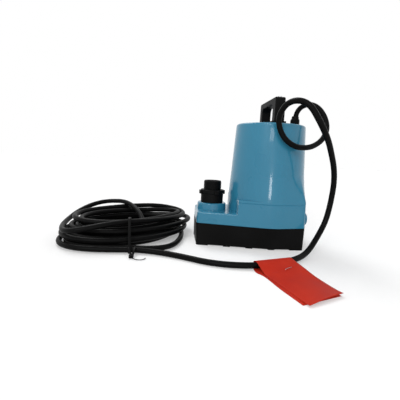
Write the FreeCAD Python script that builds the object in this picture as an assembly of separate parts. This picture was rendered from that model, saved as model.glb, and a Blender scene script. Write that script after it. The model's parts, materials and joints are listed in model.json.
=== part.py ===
import FreeCAD, Part
import math
import os
from FreeCAD import Vector

# Submersible sump pump, in millimetres.
# The motor shaft stands on the Z axis, the base stands on Z = 0,
# the discharge arm points along -X and the photographed front faces -Y.

# Heights of the main joints
SCREEN_TOP_Z = 6.5
BASE_TOP_Z = 41.0
ARM_TOP_Z = 62.0
COLLAR_TOP_Z = 75.0
SEAM_Z = 83.0
FLANGE_TOP_Z = 88.0
FLARE_TOP_Z = 135.0
COVER_TOP_Z = 226.0
OVERALL_HEIGHT = 273.0

# Housing
COVER_TOP_RADIUS = 64.3
COVER_SEAM_RADIUS = 72.6
COVER_WALL = 5.0
COVER_EDGE_RADIUS = 4.0
JOINT_CHAMFER = 0.6
CASING_WALL = 6.0
LEFT_CORNER_RADIUS = 4.5
RIGHT_CORNER_RADIUS = 6.0
END_BULGE_RADIUS = 146.0
END_SLANT = 20.0
SHOULDER_X = -64.0
OIL_BOSS_RADIUS = 12.0
OIL_BOSS_X = 70.5
OIL_BOSS_Y = -34.0
OIL_BOSS_Z = 53.5

# Discharge
DISCHARGE_X = -105.5
COLLAR_RADIUS = 27.3
SOCKET_RADIUS = 21.0
PASSAGE_RADIUS = 14.0
THREAD_RADIUS = 16.5
FITTING_BORE_RADIUS = 12.5
FITTING_TOP_Z = 117.0

# Handle
HANDLE_WIDTH = 18.0
HANDLE_HALF_LENGTH = 50.4
HANDLE_POST = 17.0
HANDLE_TOP_Z = 271.5
HANDLE_UNDERSIDE_Z = 261.0
HANDLE_SCREW_Y = 42.0

# Cord entry
GLAND_X = 47.0
CORD_RADIUS = 4.75
CORD_START_Z = 233.0

# Route of the free cord from the gland to the tie on the coil
CORD_ROUTE = [(47, 0, 233), (47, 0, 256), (66, -13, 271), (83, -27, 265), (92, -37, 248),
              (93, -45, 227), (84, -52, 208), (68, -61, 193), (48, -71, 185), (23, -80, 188),
              (0.6, -81, 204), (-11, -81, 233), (-4.3, -103, 256), (16, -130, 252), (37, -132, 221),
              (58, -118, 197), (74, -102, 175), (87, -90, 153), (94, -83, 128), (94, -79, 104),
              (90, -79, 81), (83, -81, 58), (68, -89, 35), (42, -110, 9), (14, -136, 5.9),
              (-20, -149.5, 5.9), (-60, -162, 5.9), (-118, -150, 4.75), (-165, -119, 4.75),
              (-203, -104.5, 5.4), (-231, -102, 6.3)]

# Coil: four loose layers that spiral in and out, lower layers wide, upper ones smaller
LAYER_HEIGHTS = [6.3, 16.6, 27.6, 38.9]
REVERSAL_TURNS = [3.25, 6.5, 9.0]
COIL_TURNS = 11.07
COIL_STEP = 10.9
COIL_FAN = 6.0
UPPER_FAN = 2.1
START_ANGLE = -115.0
OVAL_MIDDLE = (-262.0, 12.0)
OVAL_REACH = (135.0, 97.0)
OVAL_LEAN = 32.0
UPPER_FROM = 6.3
UPPER_SHIFT = (-12.0, 4.0)
UPPER_SHRINK = (23.0, 13.0)
UPPER_LEAN = 4.0

# Looseness: (up to this turn, drawn in at the front right, pushed out at the back right in x, y)
LOOSE_SIDES = [(3.3, 22.0, 5.0, 4.0), (6.2, 9.0, 5.0, 4.0), (9.0, 9.0, 20.0, 5.0),
               (99.0, 9.0, 37.0, 20.0)]
BACK_RIGHT = 35.0
FRONT_RIGHT = -5.0
FIRST_SWING = (0.67, 1.04)
SWING_REACH = (10.0, -46.0)
ENTRY_BULGE = (-0.03, 0.235, 13.0)
RETURN_BULGE = (0.95, 1.3, 1.8)

# Last stretch: over the top of the coil and down into its middle, where the plug lies
COIL_TAIL = [(-312, -91, 39), (-340, -93, 33), (-362, -78, 29), (-373, -50, 28), (-382, -18, 27),
             (-386, 16, 28), (-378, 50, 36), (-360, 80, 45), (-338, 99, 51), (-310, 104, 54),
             (-282, 92, 55), (-260, 68, 51), (-246, 44, 42), (-238, 24, 30), (-236, 4, 19),
             (-243, -11, 13), (-257, -20, 12), (-273, -24, 12)]
PLUG_FACE = 37.0
TIE_X = -240.0
TIE_WIDTH = 4.8
TIE_THICKNESS = 1.2
TIE_INSIDE_RADIUS = 5.1
TIE_CORNERS = [(-102.0, 6.5), (-40.2, 6.35), (-22.0, 30.4), (-34.2, 41.5),
               (-51.4, 45.0), (-57.2, 45.0)]
TAG_MIDDLE = (-22.0, -149.5)
TAG_ANGLE = 17.5
TAG_WIDTH = 64.0
TAG_LENGTH = 117.0
TAG_END_SLANT = 5.5
TAG_THICKNESS = 0.8
TAG_BACK = 8.8
TAG_FOLD_HEIGHT = 11.6
TAG_FRONT_HEIGHT = 5.2

# Shaft line
SHAFT_RADIUS = 5.0
SHAFT_BOTTOM_Z = 12.0
SHAFT_TOP_Z = 176.0
ROTOR_BORE_RADIUS = 7.0
STACK_BOTTOM_Z = 98.0
STACK_TOP_Z = 142.0
ROTOR_RADIUS = 28.6
STATOR_BORE_RADIUS = 29.0
STATOR_RADIUS = 55.0
POLE_COUNT = 4
IMPELLER_RADIUS = 34.0
IMPELLER_BOTTOM_Z = 15.5
IMPELLER_TOP_Z = 30.0
VANE_COUNT = 6

# Screws through screen and base into the casing, and from the casing into the cover
BASE_SCREWS = [(-121.0, -27.0), (-121.0, 27.0), (40.0, -58.0), (40.0, 58.0)]
COVER_SCREWS = [(51.5, -53.5), (51.5, 53.5), (-56.0, -50.0), (-56.0, 50.0)]


def v(x, y, z=0.0):
    return Vector(x, y, z)


def cylinder(radius, z0, z1, x=0.0, y=0.0):
    return Part.makeCylinder(radius, z1 - z0, v(x, y, z0))


def ring(outer, inner, z0, z1, x=0.0, y=0.0):
    return cylinder(outer, z0, z1, x, y).cut(cylinder(inner, z0 - 1.0, z1 + 1.0, x, y))


def box(x0, x1, y0, y1, z0, z1):
    return Part.makeBox(x1 - x0, y1 - y0, z1 - z0, v(x0, y0, z0))


def revolved(profile, x=0.0, y=0.0):
    """Solid turned about a vertical axis from (radius, height) corners."""
    corners = [v(x + r, y, z) for r, z in profile]
    face = Part.Face(Part.makePolygon(corners + corners[:1]))
    return face.revolve(v(x, y, 0.0), v(0.0, 0.0, 1.0), 360.0)


def turned(shape, angle):
    copy = shape.copy()
    copy.rotate(v(0.0, 0.0, 0.0), v(0.0, 0.0, 1.0), angle)
    return copy


def around(shape, count, start=0.0):
    return [turned(shape, start + 360.0 * i / count) for i in range(count)]


def mirrored_y(points):
    return [(x, -y, r) for x, y, r in reversed(points)]


def rounded_edges(corners, z):
    """Lines and tangent arcs of a closed outline given as (x, y, corner radius)."""
    arcs = []
    count = len(corners)
    for i in range(count):
        x, y, radius = corners[i]
        here = v(x, y, z)
        back = v(corners[i - 1][0], corners[i - 1][1], z) - here
        ahead = v(corners[(i + 1) % count][0], corners[(i + 1) % count][1], z) - here
        back.normalize()
        ahead.normalize()
        half = back.getAngle(ahead) / 2.0
        middle = back + ahead
        middle.normalize()
        reach = radius / math.tan(half)
        peak = here + middle * (radius / math.sin(half) - radius)
        arcs.append((here + back * reach, peak, here + ahead * reach))
    edges = []
    for i in range(count):
        start, peak, end = arcs[i]
        edges.append(Part.Arc(start, peak, end).toShape())
        edges.append(Part.makeLine(end, arcs[(i + 1) % count][0]))
    return edges


def rounded_wire(corners, z):
    return Part.Wire(rounded_edges(corners, z))


def extruded(wire, height):
    return Part.Face(wire).extrude(v(0.0, 0.0, height))


def between(low, high, z, z0, z1):
    return low + (high - low) * (z - z0) / (z1 - z0)


def plan_corners(z, inset=0.0):
    """Outline of the housing at height z: a circle round the shaft, tangent sides that
    narrow towards the discharge end, and a gently bulged motor end."""
    if z <= BASE_TOP_Z:
        def at(low, high):
            return between(low, high, z, 0.0, BASE_TOP_Z)
        radius = at(65.0, 73.4)
        left_angle = at(10.0, 14.5)
        right_angle = at(1.0, 10.3)
        left_x = at(-135.5, -136.0)
        corner_x = at(58.5, 59.0)
    else:
        def at(low, high):
            return between(low, high, z, BASE_TOP_Z, SEAM_Z)
        radius = at(73.4, COVER_SEAM_RADIUS)
        left_angle = 14.5
        right_angle = 10.3
        left_x = at(-136.0, -134.5)
        corner_x = at(59.0, 57.5)
    radius -= inset
    left_x += inset
    corner_x -= inset
    left = math.radians(left_angle)
    right = math.radians(right_angle)
    slant = math.radians(END_SLANT)
    left_y = (radius + math.sin(left) * left_x) / math.cos(left)
    corner_y = (radius - math.sin(right) * corner_x) / math.cos(right)
    tip = radius / math.cos((left + right) / 2.0)
    tip_angle = (right - left) / 2.0
    end_x = corner_x + corner_y * math.tan(slant)
    corner_left = max(LEFT_CORNER_RADIUS - inset / 2.0, 2.0)
    corner_right = max(RIGHT_CORNER_RADIUS - inset / 2.0, 2.0)
    front = [(left_x, -left_y, corner_left),
             (tip * math.sin(tip_angle), -tip * math.cos(tip_angle), radius),
             (corner_x, -corner_y, corner_right)]
    return front + [(end_x, 0.0, END_BULGE_RADIUS)] + mirrored_y(front)


def plan_wire(z, inset=0.0):
    return rounded_wire(plan_corners(z, inset), z)


def plan_loft(z0, z1, inset=0.0):
    return Part.makeLoft([plan_wire(z0, inset), plan_wire(z1, inset)], True, True)


def plan_chamfer(z0, z1):
    """Slice of the housing whose outline is drawn in at z0, for the narrow groove of a joint."""
    at = min(max(z0, BASE_TOP_Z), SEAM_Z)
    return Part.makeLoft([rounded_wire(plan_corners(at, JOINT_CHAMFER), z0),
                          rounded_wire(plan_corners(at), z1)], True, True)


def beyond_shoulder(z0, z1, clearance=0.0):
    """Space beside the round motor part, over the discharge arm."""
    space = box(-200.0, SHOULDER_X - clearance, -100.0, 100.0, z0, z1)
    return space.cut(cylinder(COVER_SEAM_RADIUS + clearance, z0 - 1.0, z1 + 1.0))


def edges_where(shape, test):
    found = []
    for edge in shape.Edges:
        if test(edge):
            found.append(edge)
    return found


def cover_radius(z):
    return between(COVER_SEAM_RADIUS, COVER_TOP_RADIUS, z, SEAM_Z, COVER_TOP_Z)


def polar(point):
    return math.atan2(point.y, point.x)


def flare_wires():
    """The motor end of the flange outline, and the circle that it runs into higher up."""
    outline = rounded_edges(plan_corners(SEAM_Z), FLANGE_TOP_Z)
    motor_end = outline[3:10]
    first = motor_end[0].Vertexes[0].Point
    last = motor_end[-1].Vertexes[-1].Point
    radius = COVER_SEAM_RADIUS
    back = Part.Arc(last, v(-radius, 0.0, FLANGE_TOP_Z), first).toShape()
    low = motor_end + [back]
    circle_radius = cover_radius(FLARE_TOP_Z)

    def on_circle(angle):
        return v(circle_radius * math.cos(angle), circle_radius * math.sin(angle), FLARE_TOP_Z)

    high = []
    for edge in low:
        start = polar(edge.Vertexes[0].Point)
        end = polar(edge.Vertexes[-1].Point)
        if end < start:
            end += 2.0 * math.pi
        middle = (start + end) / 2.0
        high.append(Part.Arc(on_circle(start), on_circle(middle), on_circle(end)).toShape())
    return Part.Wire(low), Part.Wire(high)


def make_motor_cover():
    radius_low = cover_radius(FLARE_TOP_Z)
    drum = Part.makeCone(radius_low, COVER_TOP_RADIUS, COVER_TOP_Z - FLARE_TOP_Z,
                         v(0.0, 0.0, FLARE_TOP_Z))
    drum = drum.makeFillet(COVER_EDGE_RADIUS, edges_where(
        drum, lambda e: len(e.Vertexes) == 1 and abs(e.BoundBox.ZMin - COVER_TOP_Z) < 0.01))
    low, high = flare_wires()
    flare = Part.makeLoft([low, high], True, True)
    plate_low = SEAM_Z + JOINT_CHAMFER
    plate = extruded(rounded_wire(plan_corners(SEAM_Z), plate_low), FLANGE_TOP_Z - plate_low)
    flange = plate.fuse(plan_chamfer(SEAM_Z, plate_low))
    flange = flange.cut(beyond_shoulder(SEAM_Z - 1.0, FLANGE_TOP_Z + 1.0))
    shell = drum.fuse([flare, flange])
    inner_low = COVER_SEAM_RADIUS - CASING_WALL
    inner_top = COVER_TOP_Z - COVER_WALL
    cavity = Part.makeCone(inner_low, COVER_TOP_RADIUS - COVER_WALL, inner_top - SEAM_Z,
                           v(0.0, 0.0, SEAM_Z))
    shell = shell.cut(cavity)
    bosses = [cylinder(7.0, 208.0, inner_top + 1.0, 0.0, y) for y in (-HANDLE_SCREW_Y, HANDLE_SCREW_Y)]
    bosses.append(cylinder(12.0, 215.0, inner_top + 1.0, GLAND_X, 0.0))
    shell = shell.fuse(bosses)
    holes = [cylinder(2.5, 212.0, COVER_TOP_Z + 1.0, 0.0, y) for y in (-HANDLE_SCREW_Y, HANDLE_SCREW_Y)]
    holes.append(cylinder(7.0, 210.0, COVER_TOP_Z + 1.0, GLAND_X, 0.0))
    for x, y in COVER_SCREWS:
        holes.append(cylinder(2.5, SEAM_Z - 1.0, FLANGE_TOP_Z - 1.5, x, y))
    return shell.cut(holes).removeSplitter()


def make_pump_casing():
    low = BASE_TOP_Z + JOINT_CHAMFER
    high = SEAM_Z - JOINT_CHAMFER
    body = plan_loft(low, high).fuse([plan_chamfer(BASE_TOP_Z, low), plan_chamfer(SEAM_Z, high)])
    body = body.cut(beyond_shoulder(ARM_TOP_Z, SEAM_Z + 1.0))
    arm_edges = edges_where(body, lambda e: abs(e.BoundBox.ZMin - ARM_TOP_Z) < 0.01
                            and abs(e.BoundBox.ZMax - ARM_TOP_Z) < 0.01
                            and e.CenterOfMass.x < SHOULDER_X - 5.0
                            and abs(math.hypot(e.CenterOfMass.x, e.CenterOfMass.y)
                                    - COVER_SEAM_RADIUS) > 6.0)
    body = body.makeFillet(2.5, arm_edges)
    collar = revolved([(0.0, ARM_TOP_Z - 4.0), (COLLAR_RADIUS + 0.6, ARM_TOP_Z - 4.0),
                       (COLLAR_RADIUS + 0.6, ARM_TOP_Z), (COLLAR_RADIUS, COLLAR_TOP_Z),
                       (0.0, COLLAR_TOP_Z)], DISCHARGE_X)
    collar = collar.makeFillet(2.4, edges_where(
        collar, lambda e: abs(e.BoundBox.ZMin - COLLAR_TOP_Z) < 0.01 and len(e.Vertexes) == 1))
    end_boss = Part.makeCylinder(OIL_BOSS_RADIUS, 14.0, v(OIL_BOSS_X - 14.0, OIL_BOSS_Y, OIL_BOSS_Z),
                                 v(1.0, 0.0, 0.0))
    end_boss = end_boss.makeFillet(1.5, edges_where(
        end_boss, lambda e: len(e.Vertexes) == 1 and abs(e.BoundBox.XMin - OIL_BOSS_X) < 0.01))
    body = body.fuse([collar, end_boss])
    lower_cavity = cylinder(54.0, 48.0, SEAM_Z + 1.0)
    upper_cavity = cylinder(COVER_SEAM_RADIUS - CASING_WALL, 74.0, SEAM_Z + 1.0)
    hub = cylinder(19.0, BASE_TOP_Z + 1.0, 58.0)
    body = body.cut([lower_cavity, upper_cavity]).fuse(hub)
    holes = [cylinder(13.0, BASE_TOP_Z - 1.0, 47.5),
             cylinder(SHAFT_RADIUS + 1.5, 40.0, 60.0),
             cylinder(PASSAGE_RADIUS, BASE_TOP_Z - 1.0, ARM_TOP_Z, DISCHARGE_X),
             cylinder(SOCKET_RADIUS, 58.0, COLLAR_TOP_Z + 1.0, DISCHARGE_X),
             ring(70.2, 67.8, SEAM_Z - 2.0, SEAM_Z + 1.0),
             Part.makeCylinder(6.2, 12.0, v(OIL_BOSS_X - 11.0, OIL_BOSS_Y, OIL_BOSS_Z),
                               v(1.0, 0.0, 0.0))]
    for x, y in COVER_SCREWS:
        holes.append(cylinder(2.8, BASE_TOP_Z - 1.0, SEAM_Z + 1.0, x, y))
        holes.append(cylinder(5.0, BASE_TOP_Z - 1.0, BASE_TOP_Z + 6.0, x, y))
    for x, y in BASE_SCREWS:
        holes.append(cylinder(2.5, BASE_TOP_Z - 1.0, BASE_TOP_Z + 14.0, x, y))
    return body.cut(holes).removeSplitter()


def scroll_radius(angle_degrees, start=190.0, sweep=277.7, small=37.5, large=49.0):
    return small + (large - small) * (angle_degrees - start) / sweep


def scroll_wire(z, grow=0.0):
    """Spiral chamber round the impeller with its channel to the discharge end."""
    start = 190.0
    sweep = 277.7
    pieces = 3

    def on_scroll(angle):
        r = scroll_radius(angle) + grow
        a = math.radians(angle)
        return v(r * math.cos(a), r * math.sin(a), z)

    edges = []
    for i in range(pieces):
        a0 = start + sweep * i / pieces
        a1 = start + sweep * (i + 1) / pieces
        edges.append(Part.Arc(on_scroll(a0), on_scroll((a0 + a1) / 2.0), on_scroll(a1)).toShape())
    end_radius = 16.0 + grow
    upper = v(DISCHARGE_X - 5.0, end_radius, z)
    lower = v(DISCHARGE_X - 5.0, -end_radius, z)
    tip = v(DISCHARGE_X - 5.0 - end_radius, 0.0, z)
    edges.append(Part.makeLine(on_scroll(start + sweep), upper))
    edges.append(Part.Arc(upper, tip, lower).toShape())
    edges.append(Part.makeLine(lower, on_scroll(start)))
    return Part.Wire(edges)


def make_pump_base():
    floor_z = 10.5
    wall = 4.0
    outer = plan_loft(SCREEN_TOP_Z, BASE_TOP_Z)
    hollow = Part.makeLoft([plan_wire(SCREEN_TOP_Z, wall), plan_wire(BASE_TOP_Z, wall)], True, True)
    shell = outer.cut(hollow)
    scroll = extruded(scroll_wire(floor_z, 3.0), BASE_TOP_Z - floor_z)
    ribs = []
    for angle in (-150.0, -100.0, -55.0, 0.0, 55.0, 100.0, 150.0):
        rib = box(50.0, 140.0, -1.25, 1.25, floor_z + 4.0, BASE_TOP_Z - 2.0)
        ribs.append(turned(rib, angle))
    web = Part.makeCompound(ribs).common(hollow)
    bosses = [cylinder(6.5, SCREEN_TOP_Z, BASE_TOP_Z, x, y).common(outer) for x, y in BASE_SCREWS]
    bosses += [box(-133.5, -121.0, y - 1.5, y + 1.5, SCREEN_TOP_Z, BASE_TOP_Z)
               for x, y in BASE_SCREWS if x < 0.0]
    solid = shell.fuse([scroll, web] + bosses)
    chamber = extruded(scroll_wire(floor_z + 4.0, 0.0), BASE_TOP_Z - floor_z)
    holes = [chamber, cylinder(PASSAGE_RADIUS, floor_z - 1.0, floor_z + 5.0)]
    for x, y in BASE_SCREWS:
        holes.append(cylinder(2.8, SCREEN_TOP_Z - 1.0, BASE_TOP_Z + 1.0, x, y))
    return solid.cut(holes).removeSplitter()


def make_inlet_screen():
    plate_low = 2.6
    rim = 3.0
    body = plan_loft(0.0, SCREEN_TOP_Z)
    recess = extruded(plan_wire(plate_low, 6.0), 10.0)
    recess.translate(v(0.0, 0.0, 3.0))
    body = body.cut(recess)
    foot_gap = extruded(plan_wire(0.0, rim), plate_low)
    body = body.cut(foot_gap)
    notches = []
    for x in (-100.0, -60.0, -20.0, 20.0):
        notches.append(box(x - 14.0, x + 14.0, -100.0, 100.0, -1.0, 1.6))
    for y in (-20.0, 20.0):
        notches.append(box(-200.0, 200.0, y - 10.0, y + 10.0, -1.0, 1.6))
    pads = [cylinder(6.5, 0.0, plate_low + 1.0, x, y) for x, y in BASE_SCREWS + [(0.0, 0.0)]]
    body = body.cut(notches).fuse(pads)
    slots = []
    for radius, count in ((18.0, 12), (34.0, 18)):
        slot = box(radius, radius + 12.0, -1.6, 1.6, -1.0, 8.0)
        slots += around(slot, count)
    for x in range(-112, -52, 10):
        slots.append(box(x, x + 3.2, -22.0, 22.0, -1.0, 8.0))
    for x, y in BASE_SCREWS:
        slots.append(cylinder(2.8, -1.0, 8.0, x, y))
        slots.append(cylinder(5.0, -1.0, 3.0, x, y))
    return body.cut(slots).removeSplitter()


def pan_screw(x, y, head_z, tip_z, head_radius, head_height, shank_radius):
    """Screw with its head below and its shank pointing up when tip_z is higher."""
    up = tip_z > head_z
    low, high = (head_z, head_z + head_height) if up else (head_z - head_height, head_z)
    head = cylinder(head_radius, low, high, x, y)
    if up:
        shank = cylinder(shank_radius, high - 0.5, tip_z, x, y)
    else:
        shank = cylinder(shank_radius, tip_z, low + 0.5, x, y)
    socket = Part.makeBox(head_radius * 1.3, 1.2, 1.2,
                          v(x - head_radius * 0.65, y - 0.6, low - 0.1 if up else high - 1.1))
    return head.fuse(shank).cut(socket)


def make_base_screws():
    return [pan_screw(x, y, 0.6, BASE_TOP_Z + 12.0, 4.6, 2.4, 2.5) for x, y in BASE_SCREWS]


def make_cover_screws():
    return [pan_screw(x, y, BASE_TOP_Z + 2.5, FLANGE_TOP_Z - 2.0, 4.6, 3.5, 2.5)
            for x, y in COVER_SCREWS]


def make_cover_gasket():
    return ring(70.2, 67.8, SEAM_Z - 2.0, SEAM_Z)


def make_oil_plug():
    plug = Part.makeCylinder(6.2, 10.0, v(OIL_BOSS_X - 11.0, OIL_BOSS_Y, OIL_BOSS_Z),
                             v(1.0, 0.0, 0.0))
    socket = Part.makeCylinder(2.6, 5.0, v(OIL_BOSS_X - 4.0, OIL_BOSS_Y, OIL_BOSS_Z),
                               v(1.0, 0.0, 0.0))
    return plug.cut(socket)


def make_discharge_fitting():
    body = revolved([(FITTING_BORE_RADIUS, 62.0), (SOCKET_RADIUS, 62.0), (SOCKET_RADIUS, 75.5),
                     (21.5, 76.0), (21.5, 92.0), (22.5, 93.0), (22.5, 98.6), (21.5, 99.6),
                     (15.8, 99.6), (15.8, 101.0), (THREAD_RADIUS, 101.5),
                     (THREAD_RADIUS, FITTING_TOP_Z - 1.5), (15.4, FITTING_TOP_Z),
                     (FITTING_BORE_RADIUS, FITTING_TOP_Z)], DISCHARGE_X)
    wing = box(20.0, 25.6, -4.5, 4.5, 91.0, 98.6)
    wing = wing.makeFillet(1.5, edges_where(wing, lambda e: abs(e.CenterOfMass.x - 25.6) < 0.01))
    wings = around(wing, 4, 15.0)
    for one in wings:
        one.translate(v(DISCHARGE_X, 0.0, 0.0))
    return body.fuse(wings).removeSplitter()


def make_discharge_seal():
    return ring(SOCKET_RADIUS, 15.5, 58.0, 62.0, DISCHARGE_X)


def make_handle():
    outer = [(-HANDLE_HALF_LENGTH, COVER_TOP_Z, 0.5), (HANDLE_HALF_LENGTH, COVER_TOP_Z, 0.5),
             (HANDLE_HALF_LENGTH - 1.0, HANDLE_TOP_Z, 4.0),
             (-HANDLE_HALF_LENGTH + 1.0, HANDLE_TOP_Z, 4.0)]
    inner_y = HANDLE_HALF_LENGTH - HANDLE_POST
    inner = [(-inner_y - 1.0, COVER_TOP_Z - 20.0, 2.0), (inner_y + 1.0, COVER_TOP_Z - 20.0, 2.0),
             (inner_y, HANDLE_UNDERSIDE_Z, 9.0), (-inner_y, HANDLE_UNDERSIDE_Z, 9.0)]

    def upright(corners, width):
        solid = extruded(rounded_wire(corners, 0.0), width)
        solid.rotate(v(0.0, 0.0, 0.0), v(1.0, 0.0, 0.0), 90.0)
        solid.rotate(v(0.0, 0.0, 0.0), v(0.0, 0.0, 1.0), 90.0)
        solid.translate(v(-width / 2.0, 0.0, 0.0))
        return solid

    arch = upright(outer, HANDLE_WIDTH).cut(upright(inner, HANDLE_WIDTH * 2.0))
    arch = arch.makeFillet(1.8, edges_where(arch, lambda e: e.BoundBox.XLength < 0.01
                                            and e.BoundBox.ZMax > COVER_TOP_Z + 5.0))
    feet = []
    for side in (-1.0, 1.0):
        middle = side * (HANDLE_HALF_LENGTH - HANDLE_POST / 2.0 - 0.6)
        foot = box(-12.5, 12.5, middle - 10.0, middle + 10.0, COVER_TOP_Z, COVER_TOP_Z + 4.0)
        feet.append(foot.makeFillet(2.0, edges_where(foot, lambda e: e.BoundBox.ZLength > 3.9)))
    solid = arch.fuse(feet)
    holes = [cylinder(2.6, COVER_TOP_Z - 1.0, OVERALL_HEIGHT, 0.0, y)
             for y in (-HANDLE_SCREW_Y, HANDLE_SCREW_Y)]
    return solid.cut(holes).removeSplitter()


def make_handle_screws():
    return [pan_screw(0.0, y, OVERALL_HEIGHT, 214.0, 3.6, OVERALL_HEIGHT - HANDLE_TOP_Z, 2.5)
            for y in (-HANDLE_SCREW_Y, HANDLE_SCREW_Y)]


def make_cord_gland():
    hexagon = [(9.3 * math.cos(math.radians(60.0 * i)), 9.3 * math.sin(math.radians(60.0 * i)), 0.8)
               for i in range(6)]
    nut = extruded(rounded_wire(hexagon, COVER_TOP_Z), 15.0)
    nut = nut.common(revolved([(0.0, COVER_TOP_Z), (9.0, COVER_TOP_Z), (9.0, 238.0), (7.6, 240.5),
                               (0.0, 240.5)]))
    collar = revolved([(0.0, 240.0), (7.0, 240.0), (6.4, 245.0), (5.8, 246.0), (0.0, 246.0)])
    nut = nut.fuse(collar)
    nut = nut.cut([cylinder(7.0, COVER_TOP_Z - 1.0, CORD_START_Z), cylinder(5.1, 230.0, 250.0)])
    nut.translate(v(GLAND_X, 0.0, 0.0))
    return nut.removeSplitter()


def make_gland_seal():
    return cylinder(7.0, 213.0, CORD_START_Z, GLAND_X, 0.0)


def make_shaft():
    return revolved([(0.0, SHAFT_BOTTOM_Z), (4.0, SHAFT_BOTTOM_Z), (4.0, IMPELLER_TOP_Z),
                     (SHAFT_RADIUS, IMPELLER_TOP_Z), (SHAFT_RADIUS, 72.0),
                     (ROTOR_BORE_RADIUS, 72.5), (ROTOR_BORE_RADIUS, 150.0), (SHAFT_RADIUS, 151.0),
                     (SHAFT_RADIUS, SHAFT_TOP_Z - 1.0), (4.0, SHAFT_TOP_Z), (0.0, SHAFT_TOP_Z)])


def cage_bars():
    bar = cylinder(2.2, STACK_BOTTOM_Z - 1.0, STACK_TOP_Z + 1.0, 24.5, 0.0)
    return around(bar, 12)


def make_rotor_core():
    return ring(ROTOR_RADIUS, ROTOR_BORE_RADIUS, STACK_BOTTOM_Z, STACK_TOP_Z).cut(cage_bars())


def make_rotor_cage():
    low = ring(27.5, 15.0, STACK_BOTTOM_Z - 6.0, STACK_BOTTOM_Z)
    high = ring(27.5, 15.0, STACK_TOP_Z, STACK_TOP_Z + 6.0)
    return low.fuse([high] + cage_bars()).removeSplitter()


def shading_loops():
    loop = box(29.2, 33.0, 9.0, 17.0, STACK_BOTTOM_Z - 2.5, STACK_TOP_Z + 2.5)
    loop = loop.cut(box(28.0, 35.0, 11.0, 15.0, STACK_BOTTOM_Z, STACK_TOP_Z))
    return around(loop, POLE_COUNT)


def make_stator_core():
    height = (STACK_BOTTOM_Z, STACK_TOP_Z)
    yoke = ring(STATOR_RADIUS, 46.0, *height)
    shoes = ring(34.0, STATOR_BORE_RADIUS, *height)
    poles = around(box(32.0, 48.0, -11.0, 11.0, *height), POLE_COUNT)
    core = yoke.fuse([shoes] + poles)
    gaps = around(box(25.0, 40.0, -3.0, 3.0, STACK_BOTTOM_Z - 1.0, STACK_TOP_Z + 1.0),
                  POLE_COUNT, 45.0)
    bolts = around(cylinder(2.7, STACK_BOTTOM_Z - 1.0, STACK_TOP_Z + 1.0, 50.5, 0.0),
                   POLE_COUNT, 45.0)
    return core.cut(gaps + bolts + shading_loops()).removeSplitter()


def make_stator_coils():
    outer = box(35.0, 45.2, -20.5, 20.5, STACK_BOTTOM_Z - 10.0, STACK_TOP_Z + 10.0)
    inner = box(34.0, 47.0, -11.5, 11.5, STACK_BOTTOM_Z - 0.5, STACK_TOP_Z + 0.5)
    outer = outer.makeFillet(4.0, edges_where(outer, lambda e: e.BoundBox.XLength > 10.0))
    coil = outer.cut(inner).common(cylinder(45.5, 80.0, 160.0))
    wedge_low = turned(box(0.0, 80.0, -40.0, -0.6, 80.0, 160.0), -45.0)
    wedge_high = turned(box(0.0, 80.0, 0.6, 40.0, 80.0, 160.0), 45.0)
    coil = coil.cut([wedge_low, wedge_high])
    return around(coil, POLE_COUNT)


def make_lower_bracket():
    plate = cylinder(COVER_SEAM_RADIUS - CASING_WALL - 0.4, 74.0, 79.0)
    hub = cylinder(14.0, 59.0, 79.0)
    body = plate.fuse(hub)
    windows = around(ring(44.0, 22.0, 70.0, 80.0).common(box(0.0, 60.0, -14.0, 14.0, 60.0, 90.0)),
                     POLE_COUNT)
    holes = windows + [cylinder(9.0, 50.0, 72.4), cylinder(ROTOR_BORE_RADIUS + 1.5, 70.0, 90.0)]
    holes += around(cylinder(2.5, 70.0, 80.0, 50.5, 0.0), POLE_COUNT, 45.0)
    return body.cut(holes).removeSplitter()


def make_upper_bracket():
    plate = cylinder(STATOR_RADIUS, 158.0, 163.0)
    hub = cylinder(14.0, 158.0, 175.0)
    body = plate.fuse(hub)
    windows = around(ring(44.0, 22.0, 150.0, 170.0).common(box(0.0, 60.0, -14.0, 14.0, 150.0, 170.0)),
                     POLE_COUNT)
    holes = windows + [cylinder(9.0, 150.0, 180.0)]
    holes += around(cylinder(2.7, 150.0, 170.0, 50.5, 0.0), POLE_COUNT, 45.0)
    return body.cut(holes).removeSplitter()


def make_lower_bearing():
    return ring(9.0, SHAFT_RADIUS + 0.05, 59.0, 70.0)


def make_upper_bearing():
    return ring(9.0, SHAFT_RADIUS + 0.05, 160.0, 174.0)


def make_thrust_washer():
    return ring(8.9, SHAFT_RADIUS + 0.1, 70.0, 71.6)


def make_stator_spacers():
    spacers = []
    for z0, z1 in ((79.0, STACK_BOTTOM_Z), (STACK_TOP_Z, 158.0)):
        spacers += around(ring(4.5, 2.7, z0, z1, 50.5, 0.0), POLE_COUNT, 45.0)
    return spacers


def make_stator_screws():
    screw = cylinder(4.4, 163.0, 166.5, 50.5, 0.0).fuse(cylinder(2.5, 75.0, 163.5, 50.5, 0.0))
    return around(screw, POLE_COUNT, 45.0)


def make_seal_seat():
    return ring(13.0, SHAFT_RADIUS + 0.8, 41.5, 47.5)


def make_seal_head():
    return revolved([(SHAFT_RADIUS, 36.5), (11.5, 36.5), (11.5, 39.0), (9.0, 41.2),
                     (SHAFT_RADIUS, 41.2)])


def make_seal_spring():
    wire_radius = 0.7
    turns = 3.0
    low = IMPELLER_TOP_Z + 0.9
    high = 36.5 - 0.9
    helix = Part.makeHelix((high - low) / turns, high - low, 8.0)
    profile = Part.Wire(Part.makeCircle(wire_radius, v(8.0, 0.0, 0.0), v(0.0, 1.0, 0.0)))
    spring = Part.Wire(helix).makePipeShell([profile], True, True)
    spring.translate(v(0.0, 0.0, low))
    return spring


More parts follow.
